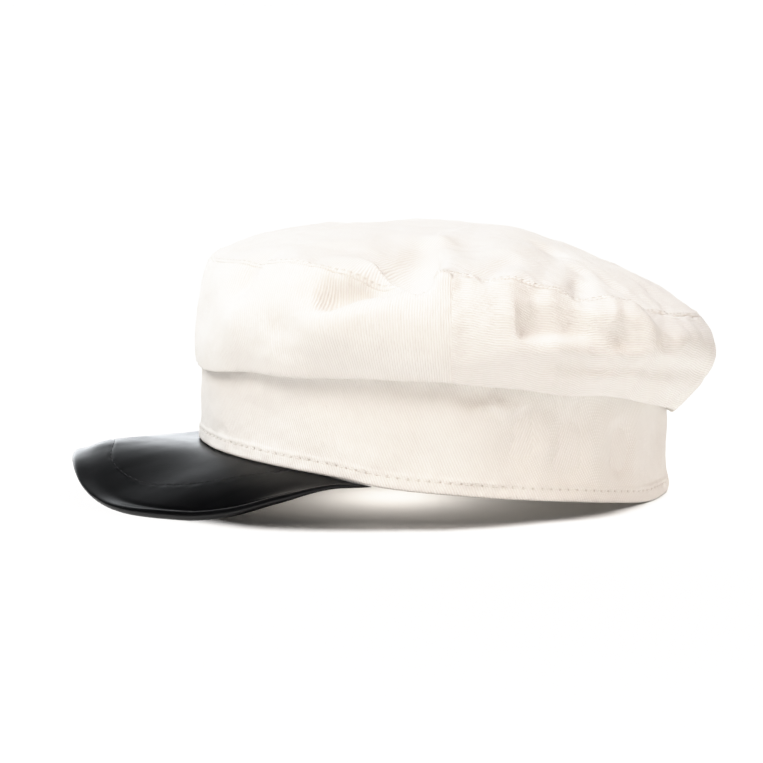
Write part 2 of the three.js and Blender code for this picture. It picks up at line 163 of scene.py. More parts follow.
def band_face(angle, height, out=0.0):
    turn = np.radians(angle)
    foot = lower_edge(FOOT_LONG * np.sin(turn))
    x = (BAND_WIDE + splay(height) + out) * np.cos(turn)
    y = (BAND_LONG + splay(height) + out) * np.sin(turn)
    return np.stack(np.broadcast_arrays(x, y, foot + BAND_HEIGHT * height), -1)


def band_reach(angle, z):
    turn = np.radians(angle)
    from_edge = (z - lower_edge(BAND_LONG * np.sin(turn))) / BAND_HEIGHT
    wide, long = BAND_WIDE + splay(from_edge), BAND_LONG + splay(from_edge)
    a = (np.cos(turn) / wide) ** 2 + (np.sin(turn) / long) ** 2
    b = CROWN_SETBACK * np.sin(turn) / long**2
    c = (CROWN_SETBACK / long) ** 2 - 1
    return (np.sqrt(b**2 - a * c) - b) / a


def crown_face(angle, way):
    """The crown before it is dented: way 0 in the middle of the top, 1 at the seam, 2 at the fold."""
    angle, way = paired(angle, way)
    turned = (angle + 90) % 360 - 90
    side = np.where(turned > 90, 180 - turned, turned)
    seam = CROWN_RADIUS * along(CROWN_RING, "angle", "seam_reach", side)
    rises = [CROWN_HEIGHT * along(CROWN_RING, "angle", name, side)
             for name in ("quarter", "half", "three", "seam")]
    seam_up = rises[-1]
    fold_up = CROWN_HEIGHT * along(CROWN_RING, "angle", "fold", side)
    band = band_reach(angle, fold_up + LEDGE_RISE)
    fold = band + OVERHANG * along(CROWN_RING, "angle", "overhang", side)

    knots = np.stack([np.full_like(seam, CROWN_HEIGHT), *rises])
    i = np.clip(np.floor(way * 4).astype(int), 0, 3)
    t = way * 4 - i
    take = lambda k: np.take_along_axis(knots, np.clip(k, 0, 4)[None], 0)[0]
    leaving = np.where(i == 0, 0, (take(i + 1) - take(i - 1)) / 2)
    arriving = np.where(i == 3, (knots[4] - knots[3]) * TOP_EDGE_SLOPE, (take(i + 2) - take(i)) / 2)
    top_up = eased(take(i), take(i + 1), leaving, arriving, t)

    pull = 2 * CROWN_RADIUS * along(CROWN_RING, "angle", "bulge", side) - (seam + fold) / 2
    s = np.clip(way - 1, 0, 1)
    side_reach, side_up = bend(seam, pull, fold, s), seam_up + (fold_up - seam_up) * s
    t = np.clip((way - 2) / LEDGE_WAY, 0, 1)
    ledge_reach = bend(fold, fold + (band - fold) * 0.25, band + GAP, t)
    ledge_up = bend(fold_up, fold_up - LEDGE_SAG, fold_up + LEDGE_RISE, t)

    reach = np.where(way <= 1, seam * way, np.where(way <= 2, side_reach, ledge_reach))
    up = np.where(way <= 1, top_up, np.where(way <= 2, side_up, ledge_up))
    turn = np.radians(angle)
    return np.stack([reach * np.cos(turn), CROWN_SETBACK + reach * np.sin(turn), up], -1)


RIM_HALF, RIM_DEEP = VISOR_WIDTH / 2, VISOR_REACH - VISOR_CORNER
FOOT_CORNER = FOOT_WIDE * np.sqrt(1 - (VISOR_CORNER / FOOT_LONG) ** 2)


def visor_at(turn, column):
    return along(VISOR_RING, "angle", column, np.abs(turn))


def roll_radius(turn):
    return PIPING_RADIUS * visor_at(turn, "thick")


def rim_place(turn, inside):
    sine, cosine = np.sin(np.radians(turn)), np.maximum(0, np.cos(np.radians(turn)))
    outwards = np.stack([sine / RIM_HALF, -cosine / RIM_DEEP], -1)
    outwards /= np.linalg.norm(outwards, axis=-1, keepdims=True)
    rim = RIM_RISE * np.maximum(0, visor_at(turn, "rim"))
    x = RIM_HALF * np.sign(sine) * np.abs(sine) ** VISOR_SQUARE - inside * outwards[..., 0]
    y = -VISOR_CORNER - RIM_DEEP * cosine**VISOR_SQUARE - inside * outwards[..., 1]
    return np.stack(np.broadcast_arrays(x, y, rim), -1)


def visor_face(turn, way):
    turn, way = paired(turn, way)
    x = FOOT_CORNER * np.sin(np.radians(turn))
    y = -FOOT_LONG * np.sqrt(1 - (x / FOOT_WIDE) ** 2)
    foot = np.stack([x, y, lower_edge(y) - GAP], -1)
    inwards = np.stack([x / FOOT_WIDE**2, y / FOOT_LONG**2, 0 * x], -1)
    inwards /= np.linalg.norm(inwards, axis=-1, keepdims=True)
    edge = rim_place(turn, 2 * roll_radius(turn) + GAP)
    edge[..., 2] += roll_radius(turn) + visor_at(turn, "thick") * VISOR_BOARD / 2
    w = np.clip(way, 0, None)
    fall = w ** visor_at(turn, "round")
    out = foot + (edge - foot) * np.stack([w, w, fall], -1)
    return out + inwards * (BAND_WALL * np.minimum(way, 0))[..., None]


# Where the middle of the headband stands in the frame, in mm
piping_low, piping_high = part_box("visor_piping")
SHIFT = np.array([
    500 * (piping_low.x + piping_high.x),
    1000 * piping_low.y + VISOR_REACH,
    0.0,
])


def smooth(value, low, high):
    t = np.clip((value - low) / (high - low), 0, 1)
    return t * t * (3 - 2 * t)


def hump(value, at, width, height=1):
    """That height where the value is `at`, and down to 0 on both sides of it."""
    return height * np.exp(-(((value - at) / width) ** 2))


def unit(vectors):
    length = np.linalg.norm(vectors, axis=-1, keepdims=True)
    return vectors / np.maximum(length, 1e-9)


RIPPLE_WAVES = 26


def ripples(points, length, seed):
    """Smooth noise of about that wavelength in mm, mean 0 and spread 1."""
    rng = np.random.default_rng(seed)
    total = np.zeros(points.shape[:-1])
    for _ in range(RIPPLE_WAVES):
        way = rng.normal(size=3)
        way *= rng.uniform(0.65, 1.5) / (np.linalg.norm(way) + 1e-9)
        total += np.cos(points @ way * (2 * np.pi / length) + rng.uniform(0, 2 * np.pi))
    return total / math.sqrt(RIPPLE_WAVES / 2)


# The main folds, nearly as in the solids: a line of (angle, way), the width as a share of FOLD_WIDTH, the
# push inwards and the drop as shares of FOLD_DEPTH
BASE_FOLDS = [
    ([(-21, 0.6), (-19, 0.78), (-22, 0.97), (-28, 1.1), (-34, 1.2)], 0.8, 0.25, 0.5),
    ([(-16, 0.5), (-13, 0.82), (-11, 1.04)], 0.5, -0.25, -0.3),
    ([(-38, 1.42), (-24, 1.26)], 0.8, -0.4, 0),
    ([(-60, 0.96), (-61, 1.18)], 0.6, 0.5, 0.3),
    ([(-58, 1.36), (-60, 1.5)], 0.7, -0.3, 0),
    ([(-39, 1.42), (-45, 1.6)], 0.5, 0.2, 0),
    ([(-3, 0.45), (-3, 0.7)], 0.8, 0, 0.35),
    ([(10, 0.82), (-1, 0.98)], 0.5, 0.1, 0.3),
    ([(42, 0.5), (22, 0.74), (12, 1.03)], 0.6, 0.25, 0.5),
    ([(13, 1.34), (24, 1.36)], 1.0, 0.55, 0.1),
    ([(4, 1.66), (22, 1.6)], 0.5, -0.35, 0),
    ([(34, 0.78), (22, 1.01)], 0.5, 0.2, 0.4),
    ([(23, 1.45), (32, 1.41)], 0.6, 0.35, 0),
    ([(26, 1.17), (38, 1.13)], 0.6, -0.3, 0),
    ([(40, 1.26), (56, 1.2)], 0.8, -0.3, 0),
    ([(16, 1.72), (34, 1.7), (63, 1.66)], 0.5, 0.3, 0),
    ([(108, 1.3), (122, 1.42)], 0.8, 0.35, 0.1),
    ([(112, 0.7), (106, 1)], 0.8, 0.2, 0.4),
    ([(152, 0.6), (146, 1), (154, 1.35)], 0.9, 0.45, 0.5),
    ([(120, 1.68), (150, 1.72), (172, 1.7)], 0.5, 0.3, 0),
    ([(190, 1.3), (204, 1.42)], 1, 0.6, 0.1),
    ([(224, 0.5), (210, 0.8), (216, 1.15), (222, 1.3)], 0.8, 0.5, 0.7),
    ([(246, 1.1), (250, 1.35)], 0.7, 0.4, 0.2),
]
BAND_BASE_FOLDS = [
    ([(-8, 0.72), (2, 0.6)], 1.2, -0.22, 0),
    ([(28, 0.2), (26, 0.62)], 0.8, 0.25, 0),
    ([(62, 0.22), (64, 0.58)], 0.9, 0.22, 0),
    ([(-52, 0.3), (-40, 0.5)], 1.4, 0.18, 0),
    ([(140, 0.2), (144, 0.6)], 0.9, 0.25, 0),
    ([(186, 0.3), (200, 0.5)], 1.3, 0.2, 0),
]

# Finer creases that lie over them, by the same kind of line. depth is in mm, with a minus sign for a
# ridge. over and under are the widths in mm of the slopes to the line's left hand and right hand, first
# and last the lengths in mm over which its two ends run out.
CREASES = [
    # line, depth, over, under, first, last
    ([(-38, 1.32), (-33, 1.2), (-29.5, 1.12), (-25.5, 1.07), (-20, 1.04)], 7.5, 8.5, 2.6, 12, 9),
    ([(-19, 1.08), (-16.5, 1), (-15, 0.9), (-15, 0.75), (-18, 0.52)], 8.5, 19, 6, 5, 42),
    ([(-61, 1.24), (-59, 1.16), (-57.5, 1.05), (-57.5, 0.95)], 1.6, 7, 3.2, 6, 8),
    ([(-50.5, 1.68), (-46, 1.54), (-43.5, 1.4)], 0.9, 8, 5, 9, 9),
    ([(-40, 1.5), (-33.5, 1.57), (-27, 1.66)], -0.7, 8, 4.5, 10, 10),
    ([(-50, 1.83), (-44, 1.8), (-36, 1.82)], 0.6, 5, 4, 9, 9),
    ([(6, 1.47), (13, 1.42), (20, 1.39), (26, 1.37)], 3.8, 12, 3.2, 5, 11),
    ([(6.5, 1.5), (8.5, 1.3), (11, 1.08)], -0.9, 9, 3.2, 7, 9),
    ([(28, 1.42), (34, 1.46), (40, 1.42)], 3.0, 11, 4, 8, 9),
    ([(25, 1.46), (28, 1.27), (30, 1.14)], -0.3, 8, 5, 6, 5),
    ([(38.5, 1.33), (42, 1.38), (46, 1.46)], 1.1, 6, 3, 5, 6),
    ([(47, 1.5), (53, 1.44), (62, 1.42)], 0.8, 8, 4, 8, 10),
    ([(11.5, 1.04), (19.5, 0.78), (34, 0.5)], -1.3, 16, 6, 6, 16),
    ([(21.5, 1.02), (26, 0.92), (32, 0.82)], 1.5, 3.5, 8, 3, 8),
    ([(-2, 1.02), (0, 0.98), (5.5, 0.84), (13, 0.7)], 1.6, 11, 5, 5, 14),
    ([(-4, 0.66), (2, 0.42)], 1.4, 10, 8, 8, 10),
    ([(15, 1.8), (34, 1.71), (60, 1.64), (78, 1.68)], 1.1, 7, 3, 12, 18),
    ([(-18, 1.74), (-4, 1.66), (4, 1.7)], 0.6, 8, 4, 10, 10),
    ([(28, 1.17), (33, 1.18)], -1.2, 7, 6, 6, 6),
    ([(45, 1.25), (53, 1.29)], -1.2, 9, 8, 8, 8),
    ([(34, 1.02), (36, 0.9), (44, 0.78)], 1.1, 4, 7, 3, 9),
    ([(52, 1.03), (56, 0.9), (66, 0.8)], 1.0, 4, 8, 3, 10),
    ([(-70, 1.5), (-76, 1.3), (-78, 1.1)], 1.0, 9, 6, 10, 12),
    ([(-88, 1.62), (-82, 1.55), (-70, 1.6)], 0.8, 7, 4, 10, 12),
    ([(-84, 1.02), (-86, 0.88), (-80, 0.72)], 1.1, 7, 5, 4, 14),
    ([(-45, 0.98), (-42, 0.86), (-40, 0.7)], 0.8, 9, 6, 6, 14),
    ([(82, 1.62), (92, 1.5), (104, 1.46)], 1.6, 9, 4, 9, 12),
    ([(88, 1.2), (96, 1.05), (98, 0.9)], 1.5, 8, 4, 9, 12),
    ([(104, 1.72), (116, 1.62), (132, 1.66)], 1.3, 8, 3.5, 12, 14),
    ([(118, 1.36), (126, 1.2), (124, 1.04), (128, 0.84)], 2.0, 10, 4, 10, 16),
    ([(138, 1.5), (148, 1.42), (158, 1.46)], 1.6, 9, 4, 9, 12),
    ([(166, 1.36), (170, 1.18), (168, 1.02), (174, 0.8)], 1.9, 10, 4.5, 8, 16),
    ([(172, 1.66), (186, 1.58), (200, 1.62)], 1.3, 8, 4, 12, 12),
    ([(196, 1.46), (204, 1.36), (214, 1.3)], 1.8, 10, 4, 9, 10),
    ([(208, 1.12), (212, 0.96), (220, 0.76)], 2.2, 11, 4.5, 8, 18),
    ([(226, 1.6), (236, 1.5), (246, 1.52)], 1.2, 8, 4, 10, 12),
    ([(238, 1.2), (240, 1.04), (238, 0.86)], 1.3, 8, 4, 8, 12),
    ([(250, 1.42), (258, 1.28), (262, 1.1)], 1.2, 8, 5, 9, 10),
    ([(130, 0.5), (160, 0.42), (200, 0.46)], 1.1, 12, 8, 20, 20),
    ([(-60, 0.3), (-20, 0.26), (30, 0.3)], 0.8, 12, 9, 16, 16),
]
BAND_CREASES = [
    ([(-14, 0.62), (-8, 0.7), (-6, 0.84)], 1.0, 6, 5, 6, 6),
    ([(0, 0.7), (4, 0.75), (8, 0.82)], 2.0, 6, 4, 6, 5),
    ([(9, 0.62), (12, 0.76)], -2.0, 6, 6, 6, 6),
    ([(16, 0.2), (17, 0.5), (16, 0.72)], 3.0, 9, 6, 12, 8),
    ([(16, 0.76), (28, 0.76)], 1.6, 7, 7, 6, 8),
    ([(23, 0.3), (24, 0.62)], -1.2, 7, 7, 10, 10),
    ([(30, 0.15), (30, 0.45), (29, 0.7)], 2.6, 8, 6, 10, 12),
    ([(44, 0.15), (47, 0.45), (45, 0.68)], 3.0, 9, 6, 10, 12),
    ([(80, 0.2), (84, 0.4), (82, 0.52)], 0.9, 7, 5, 8, 9),
    ([(100, 0.15), (98, 0.34), (104, 0.5)], 0.9, 7, 5, 8, 9),
    ([(122, 0.2), (126, 0.42), (122, 0.56)], 0.8, 7, 5, 8, 9),
    ([(158, 0.2), (156, 0.4), (162, 0.6)], 0.9, 7, 5, 8, 9),
    ([(176, 0.25), (182, 0.5), (178, 0.7)], 0.8, 7, 5, 8, 9),
    ([(208, 0.25), (212, 0.5), (216, 0.66)], 0.8, 7, 5, 8, 9),
]


def traced(face, line, pieces=4):
    """Places along a line of surface positions: their positions and their points in space."""
    line = np.array(line, float)
    spots = [line[i] + (line[i + 1] - line[i]) * t
             for i in range(len(line) - 1) for t in np.arange(pieces) / pieces]
    spots = np.array([*spots, line[-1]])
    return spots, face(spots[:, 0], spots[:, 1])


def nearest(places, points, reach):
    """Distance from each place to a line of points, how far along it that is in mm, the number of
    the nearest stretch, and which places are within reach at all."""
    near = np.flatnonzero(
        ((places > points.min(0) - reach) & (places < points.max(0) + reach)).all(-1))
    best = np.full(len(near), np.inf)
    run = np.zeros(len(near))
    stretch = np.zeros(len(near), int)
    start = 0.0
    for i, (a, b) in enumerate(zip(points[:-1], points[1:])):
        ab = b - a
        t = np.clip(((places[near] - a) @ ab) / (ab @ ab), 0, 1)
        away = np.linalg.norm(places[near] - a - t[:, None] * ab, axis=1)
        closer = away < best
        best = np.where(closer, away, best)
        run = np.where(closer, start + t * np.linalg.norm(ab), run)
        stretch = np.where(closer, i, stretch)
        start += np.linalg.norm(ab)
    return near, best, run, stretch, start


def dented(face, folds, middle_y, fade):
    """The face with the main folds pressed in, towards the upright line at middle_y."""
    lines = [(traced(face, line)[1], width * FOLD_WIDTH, push, drop)
             for line, width, push, drop in folds]

    def pressed(angle, way):
        angle, way = paired(angle, way)
        base = face(angle, way)
        flat = base.reshape(-1, 3)
        shift = np.zeros_like(flat)
        for points, width, push, drop in lines:
            near, away, *_ = nearest(flat, points, 3 * width)
            depth = hump(away, 0, width, FOLD_DEPTH)
            shift[near, 0] -= push * depth * flat[near, 0] / CROWN_RADIUS
            shift[near, 1] -= push * depth * (flat[near, 1] - middle_y) / CROWN_RADIUS
            shift[near, 2] -= drop * depth
        return base + shift.reshape(base.shape) * fade(way)[..., None]

    return pressed


def creased(face, creases, angle, way, spread):
    """Depth in mm of the fine creases at each surface position. spread turns a surface position
    into millimetres on the cloth, which says on which hand of a crease a place lies."""
    places = face(angle, way).reshape(-1, 3)
    here = spread(angle, way).reshape(-1, 2)
    depth = np.zeros(len(places))
    for line, deep, over, under, first, last in creases:
        spots, points = traced(face, line, 3)
        near, away, run, stretch, length = nearest(places, points, 2.6 * max(over, under))
        marks = spread(spots[:, 0], spots[:, 1])
        along_line = (marks[1:] - marks[:-1])[stretch]
        offset = here[near] - marks[:-1][stretch]
        right_hand = along_line[:, 0] * offset[:, 1] - along_line[:, 1] * offset[:, 0]
        width = np.where(right_hand > 0, under, over)
        ends = smooth(run, -0.2 * first, first) * smooth(length - run, -0.2 * last, last)
        depth[near] += deep * ends * hump(away, 0, width)
    return depth.reshape(angle.shape)


def crown_spread(angle, way):
    """Millimetres on the crown's cloth: towards the back, and down from its middle."""
    turn = (np.asarray(angle) + 120) % 360 - 120
    round_way = np.minimum(way, 1)
    down = TOP_DOWN * round_way + SIDE_DOWN * np.maximum(way - 1, 0)
    return np.stack([np.radians(turn) * CROWN_ROUND * round_way, down], -1)


def band_spread(angle, height):
    """Millimetres on the headband's cloth: towards the back, and down."""
    turn = (np.asarray(angle) + 120) % 360 - 120
    return np.stack([np.radians(turn) * BAND_ROUND, -BAND_HEIGHT * height], -1)


def normals_of(grid, wrap):
    """Outward normals of a grid of points, rows downwards and columns towards the back."""
    down = np.gradient(grid, axis=0)
    if wrap:
        across = (np.roll(grid, -1, 1) - np.roll(grid, 1, 1)) / 2
    else:
        across = np.gradient(grid, axis=1)
    return unit(np.cross(down, across))


def run_down(grid):
    """Length in mm down each column of a grid."""
    steps = np.linalg.norm(np.diff(grid, axis=0), axis=-1)
    return np.concatenate([np.zeros((1, grid.shape[1])), np.cumsum(steps, 0)])


def relax(grid, share, times):
    """Draws each row but the outer two by that share to the middle of its neighbours."""
    for _ in range(times):
        grid[1:-1] += share * ((grid[:-2] + grid[2:]) / 2 - grid[1:-1])


def lip(distance, radius):
    """How far an edge's face sinks as it rolls over into its seam."""
    t = np.clip(1 - distance / radius, 0, 1)
    return radius * (1 - np.sqrt(1 - t * t))


def rows(*stretches):
    """Rising values: each stretch is (from, to, count), and a stretch starts where the last ended."""
    parts = [np.linspace(a, b, n, endpoint=False) for a, b, n in stretches]
    return np.concatenate([*parts, [stretches[-1][1]]])


# Meshes
def shown(name, data):
    """A new object in the scene."""
    made = bpy.data.objects.new(name, data)
    SCENE.collection.objects.link(made)
    return made


def cap_piece(mesh, material):
    """A finished mesh as a smooth piece of the cap, which moves with its root."""
    mesh.polygons.foreach_set("use_smooth", np.ones(len(mesh.polygons), bool))
    mesh.materials.append(material)
    made = shown(mesh.name, mesh)
    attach(made, "root")
    return made


def piece(name, grid, material, stands_for, maps, wrap=False):
    """A closed skin from a grid of points in mm, in place of the solids that it stands for. Its last row
    joins its first, and with wrap its last column too. maps = UV maps by name, with a value in mm for
    each grid point, and one more column where the grid wraps."""
    high, wide = grid.shape[:2]
    across = wide if wrap else wide - 1
    i, j = [a.ravel() for a in np.meshgrid(np.arange(high), np.arange(across), indexing="ij")]
    corners_i = np.stack([i, i + 1, i + 1, i], 1)
    corners_j = np.stack([j, j, j + 1, j + 1], 1)
    faces = (corners_i % high) * wide + corners_j % wide
    mesh = bpy.data.meshes.new(name)
    points = (grid.reshape(-1, 3) + SHIFT) / 1000
    mesh.vertices.add(len(points))
    mesh.vertices.foreach_set("co", points.astype(np.float32).ravel())
    mesh.loops.add(faces.size)
    mesh.loops.foreach_set("vertex_index", faces.astype(np.int32).ravel())
    mesh.polygons.add(len(faces))
    mesh.polygons.foreach_set("loop_start", np.arange(0, faces.size, 4, dtype=np.int32))
    mesh.update(calc_edges=True)
    mesh.validate()
    for map_name, values in maps.items():
        layer = mesh.uv_layers.new(name=map_name)
        uv = values[corners_i % values.shape[0], np.minimum(corners_j, values.shape[1] - 1)] / MAP_UNIT
        layer.data.foreach_set("uv", uv.astype(np.float32).ravel())
    made = cap_piece(mesh, material)
    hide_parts(*stands_for)
    return made


def stitches(name, path, outward, pitch, length, radius, rise, sink, material, closed=False):
    """A row of stitches along a path of points in mm, each risen in its middle and sunk at its ends."""
    path, outward = np.asarray(path), unit(np.asarray(outward))
    if closed:
        path, outward = np.vstack([path, path[:1]]), np.vstack([outward, outward[:1]])
    run = np.concatenate([[0], np.cumsum(np.linalg.norm(np.diff(path, axis=0), axis=1))])
    count = int(run[-1] // pitch)
    rng = np.random.default_rng(len(name) * 7 + count)
    sides, steps = 6, 7
    t = np.linspace(0, 1, steps)
    ring = np.arange(sides)[:, None] * 2 * np.pi / sides
    points = []
    read = lambda values, at: np.stack([np.interp(at, run, values[:, k]) for k in range(3)], -1)
    for k in range(count):
        middle = (k + 0.5) * run[-1] / count + rng.normal(0, 0.05)
        at = middle + (t - 0.5) * length
        up = unit(read(outward, at))
        line = read(path, at) + up * (rise - (rise + sink) * np.abs(2 * t - 1)[:, None] ** 2.6)
        ahead = unit(np.gradient(line, axis=0))
        side = unit(np.cross(ahead, up))
        line = line + side * rng.normal(0, 0.06)
        over = np.cross(side, ahead)
        points.append(line[:, None] + radius * (np.cos(ring) * side[:, None] + np.sin(ring) * over[:, None]))
    rings = (np.arange(count)[:, None] * steps + np.arange(steps - 1)).reshape(-1, 1) * sides
    a, b = rings + np.arange(sides), rings + (np.arange(sides) + 1) % sides
    faces = np.stack([a, b, b + sides, a + sides], -1).reshape(-1, 4).tolist()
    mesh = bpy.data.meshes.new(name)
    mesh.from_pydata(((np.reshape(points, (-1, 3)) + SHIFT) / 1000).tolist(), [], faces)
    cap_piece(mesh, material)


# Materials
class Nodes:
    """The nodes of a material or of the world, written as sums."""

    def __init__(self, owner):
        self.owner = owner
        owner.use_nodes = True
        self.tree = owner.node_tree

    def node(self, kind, **inputs):
        made = self.tree.nodes.new(kind)
        for key, value in inputs.items():
            name = key.replace("_", " ")
            if name in made.inputs:
                self.put(made.inputs[name], value)
            else:
                setattr(made, key, value)
        return made

    def put(self, socket, value):
        if isinstance(value, bpy.types.NodeSocket):
            self.tree.links.new(value, socket)
        else:
            socket.default_value = value

    def math(self, operation, *values):
        made = self.tree.nodes.new("ShaderNodeMath")
        made.operation = operation
        for socket, value in zip(made.inputs, values):
            self.put(socket, value)
        return made.outputs[0]

    def plus(self, a, b):
        return self.math("ADD", a, b)

    def minus(self, a, b):
        return self.math("SUBTRACT", a, b)

    def times(self, a, b):
        return self.math("MULTIPLY", a, b)

    def wave(self, value, pitch):
        return self.math("SINE", self.times(value, 2 * math.pi / pitch))

    def uv(self, name):
        """The two sides of a UV map, in mm."""
        made = self.node("ShaderNodeUVMap", uv_map=name)
        apart = self.node("ShaderNodeSeparateXYZ", Vector=made.outputs["UV"])
        return [self.times(apart.outputs[k], MAP_UNIT) for k in (0, 1)]

    def place(self):
        return self.node("ShaderNodeTexCoord").outputs["Object"]

    def noise(self, scale, detail=2.0, rough=0.5):
        return self.node("ShaderNodeTexNoise", Vector=self.place(), Scale=scale, Detail=detail,
                         Roughness=rough).outputs["Fac"]

    def wide(self, value, low, high, to_low=0.0, to_high=1.0):
        return self.node("ShaderNodeMapRange", Value=value, From_Min=low, From_Max=high, To_Min=to_low,
                         To_Max=to_high).outputs[0]

    def mix(self, share, a, b):
        made = self.node("ShaderNodeMix", data_type="RGBA", Factor=share)
        self.put(made.inputs[6], a)
        self.put(made.inputs[7], b)
        return made.outputs[2]

    def bump(self, height, distance, strength, **under):
        return self.node("ShaderNodeBump", Height=height, Distance=distance, Strength=strength,
                         **under).outputs["Normal"]

    def holes(self, pitch, size, where):
        """1 in the needle holes of a stitch line that runs along the Stitch map, else 0."""
        along_line, across = self.uv("Stitch")
        step = self.math("MODULO", self.plus(along_line, 1000 * pitch), pitch)
        s = self.minus(step, pitch / 2)
        d = self.minus(across, where)
        away = self.math("SQRT", self.plus(self.times(s, s), self.times(d, d)))
        return self.wide(away, 0.3 * size, size, 1.0, 0.0)

    def finished(self, **inputs):
        """The material, with the inputs of its surface filled in."""
        surface = self.tree.nodes["Principled BSDF"]
        for key, value in inputs.items():
            self.put(surface.inputs[key.replace("_", " ")], value)
        return self.owner


def new_material(name):
    return Nodes(bpy.data.materials.new(name))


RIB_PITCH, WARP_PITCH, WEFT_PITCH = 1.02, 0.52, 0.6
IVORY_DULL, IVORY_CLEAN = (0.825, 0.79, 0.745, 1), (0.85, 0.82, 0.78, 1)
# colours: painted shade for the rib valleys, the lighter yarn of the slubs, painted shade in the needle holes
RIB_PAINTED_SHADE, SLUB_LIGHT, PIT_PAINTED_SHADE = (0.62, 0.545, 0.475, 1), (0.84, 0.825, 0.80, 1), (0.4, 0.31, 0.24, 1)
SHEEN_TINT = (1.0, 0.985, 0.96, 1)


def twill(name, slant, stitch=None, hole_shade=0.5):
    """White cotton twill. slant = the way its ribs run, in degrees from the map's first side.
    stitch = pitch, size and place in mm of a row of needle holes, hole_shade = how dark their painted shade
    is."""
    m = new_material(name)
    u, v = m.uv("Cloth")
    lean = math.radians(slant)
    wander = m.times(m.minus(m.noise(160.0, 2.0), 0.5), 0.5)
    across = m.plus(m.plus(m.times(u, -math.sin(lean)), m.times(v, math.cos(lean))), wander)
    rib = m.wave(across, RIB_PITCH)
    yarns = m.times(m.wave(u, WARP_PITCH), m.wave(v, WEFT_PITCH))
    slub = m.noise(900.0, 3.0, 0.65)
    height = m.plus(m.times(rib, 0.6), m.times(yarns, 0.22))
    height = m.plus(height, m.times(slub, 0.7))

    fade = m.wide(m.noise(28.0, 3.0, 0.55), 0.35, 0.65)
    # painted shade: the colour is darkened in the rib valleys, where shade falls
    rib_valley_shade = m.wide(rib, -1.0, 0.2, 1.0, 0.0)
    ground = m.mix(fade, IVORY_DULL, IVORY_CLEAN)
    colour = m.mix(m.times(rib_valley_shade, 0.30), ground, RIB_PAINTED_SHADE)
    colour = m.mix(m.times(m.wide(slub, 0.55, 0.8), 0.25), colour, SLUB_LIGHT)
    if stitch:
        pit = m.holes(*stitch)
        # painted shade: the colour is darkened brown in the needle holes, besides their dent below
        colour = m.mix(m.times(pit, hole_shade), colour, PIT_PAINTED_SHADE)
        height = m.minus(height, m.times(pit, 3.0))
    soft = m.bump(m.noise(150.0, 3.0, 0.55), 0.0009, 0.30)
    return m.finished(Base_Color=colour, Roughness=m.wide(slub, 0.3, 0.7, 0.86, 0.97), Specular_IOR_Level=0.2,
                      Sheen_Weight=0.22, Sheen_Roughness=0.45, Sheen_Tint=SHEEN_TINT,
                      Normal=m.bump(height, 0.00013, 0.9, Normal=soft))


def thread(name, colour, rough):
    """Sewing thread, with frayed fibres that break up its colour."""
    m = new_material(name)
    fray = m.noise(2600.0, 2.0)
    dark = tuple(0.75 * c for c in colour) + (1,)
    return m.finished(Base_Color=m.mix(m.wide(fray, 0.3, 0.7), dark, tuple(colour) + (1,)), Roughness=rough,
                      Normal=m.bump(fray, 0.0001, 0.6))


BLACK_DEEP, BLACK_WORN = (0.0008, 0.0008, 0.001, 1), (0.0016, 0.0016, 0.002, 1)


def leather(name, stitch):
    """Smooth black faux leather with a fine grain and a satin gloss."""
    m = new_material(name)
    grain = m.node("ShaderNodeTexVoronoi", Vector=m.place(), Scale=1500.0, feature="SMOOTH_F1")
    pebble = grain.outputs["Distance"]
    fine = m.noise(2600.0, 2.0, 0.5)
    worn = m.noise(60.0, 4.0, 0.6)
    colour = m.mix(m.wide(worn, 0.35, 0.7), BLACK_DEEP, BLACK_WORN)
    height = m.plus(m.times(pebble, 0.8), m.times(fine, 0.35))
    height = m.minus(height, m.times(m.holes(*stitch), 4.0))
    soft = m.bump(m.noise(70.0, 3.0, 0.5), 0.0006, 0.12)
    return m.finished(Base_Color=colour, Roughness=m.wide(worn, 0.3, 0.7, 0.30, 0.40),
                      Specular_IOR_Level=0.42, Normal=m.bump(height, 0.00004, 0.6, Normal=soft))


TOP_CLOTH = twill("twill_top", 45, stitch=(SEAM_PITCH, 0.45, SEAM_STITCH), hole_shade=0.18)
FRONT_CLOTH = twill("twill_front", 92)
BACK_CLOTH = twill("twill_back", -4)
BAND_CLOTH = twill("twill_band", -68, stitch=(HEM_PITCH, 0.58, HEM_STITCH))
THREAD = thread("cotton_thread", (0.86, 0.82, 0.76), 0.8)
VISOR_LEATHER = leather("visor_leather", stitch=(ARC_PITCH, 0.5, 0.0))
BLACK_THREAD = thread("black_thread", (0.02, 0.02, 0.022), 0.55)


# Crown
def crown_fade(way):
    """1 over the crown, 0 at its lower fold, which no dent shifts."""
    return 1 - smooth(way, 1.75, 1.98)


crown_base = dented(crown_face, BASE_FOLDS, CROWN_SETBACK, crown_fade)

# How far the top seam hangs below its even line, in mm, by the angle
SEAM_DROP = {"angle": [-90, -40, -26, -20, -13, -8, 4, 14, 20, 27, 33,
                       38.5, 41, 47, 60, 80, 100, 140, 180, 215, 240, 270],
             "drop": [0, 0, 0.6, 1.4, 1.4, 0.3, -0.6, -0.2, 0.8, 2.4, 1.9,
                      2.6, 5.6, 5.8, 4.2, 1.5, 0.5, 1.6, 0.2, 1.6, 0.4, 0]}


def crown_drop(angle, way):
    """How far the cloth hangs down there with the seam."""
    reach = np.where(way < 1, 0.22, 0.42)
    drop = along(SEAM_DROP, "angle", "drop", (angle + 90) % 360 - 90)
    return drop * hump(way, 1, reach)


def at_front(angle):
    """1 in the middle of the front, 0 at the sides and the back."""
    return 1 - smooth(np.abs((angle + 270) % 360 - 180), 38, 66)


# Place, width and height of the cloth's bead beside the top seam and of the front's round shoulder, in mm
SEAM_BEAD, SHOULDER = (2.0, 1.5, 0.25), (0, 16, 2.6)
PUCKER_REACH, RIM_REACH = 5.5, 5


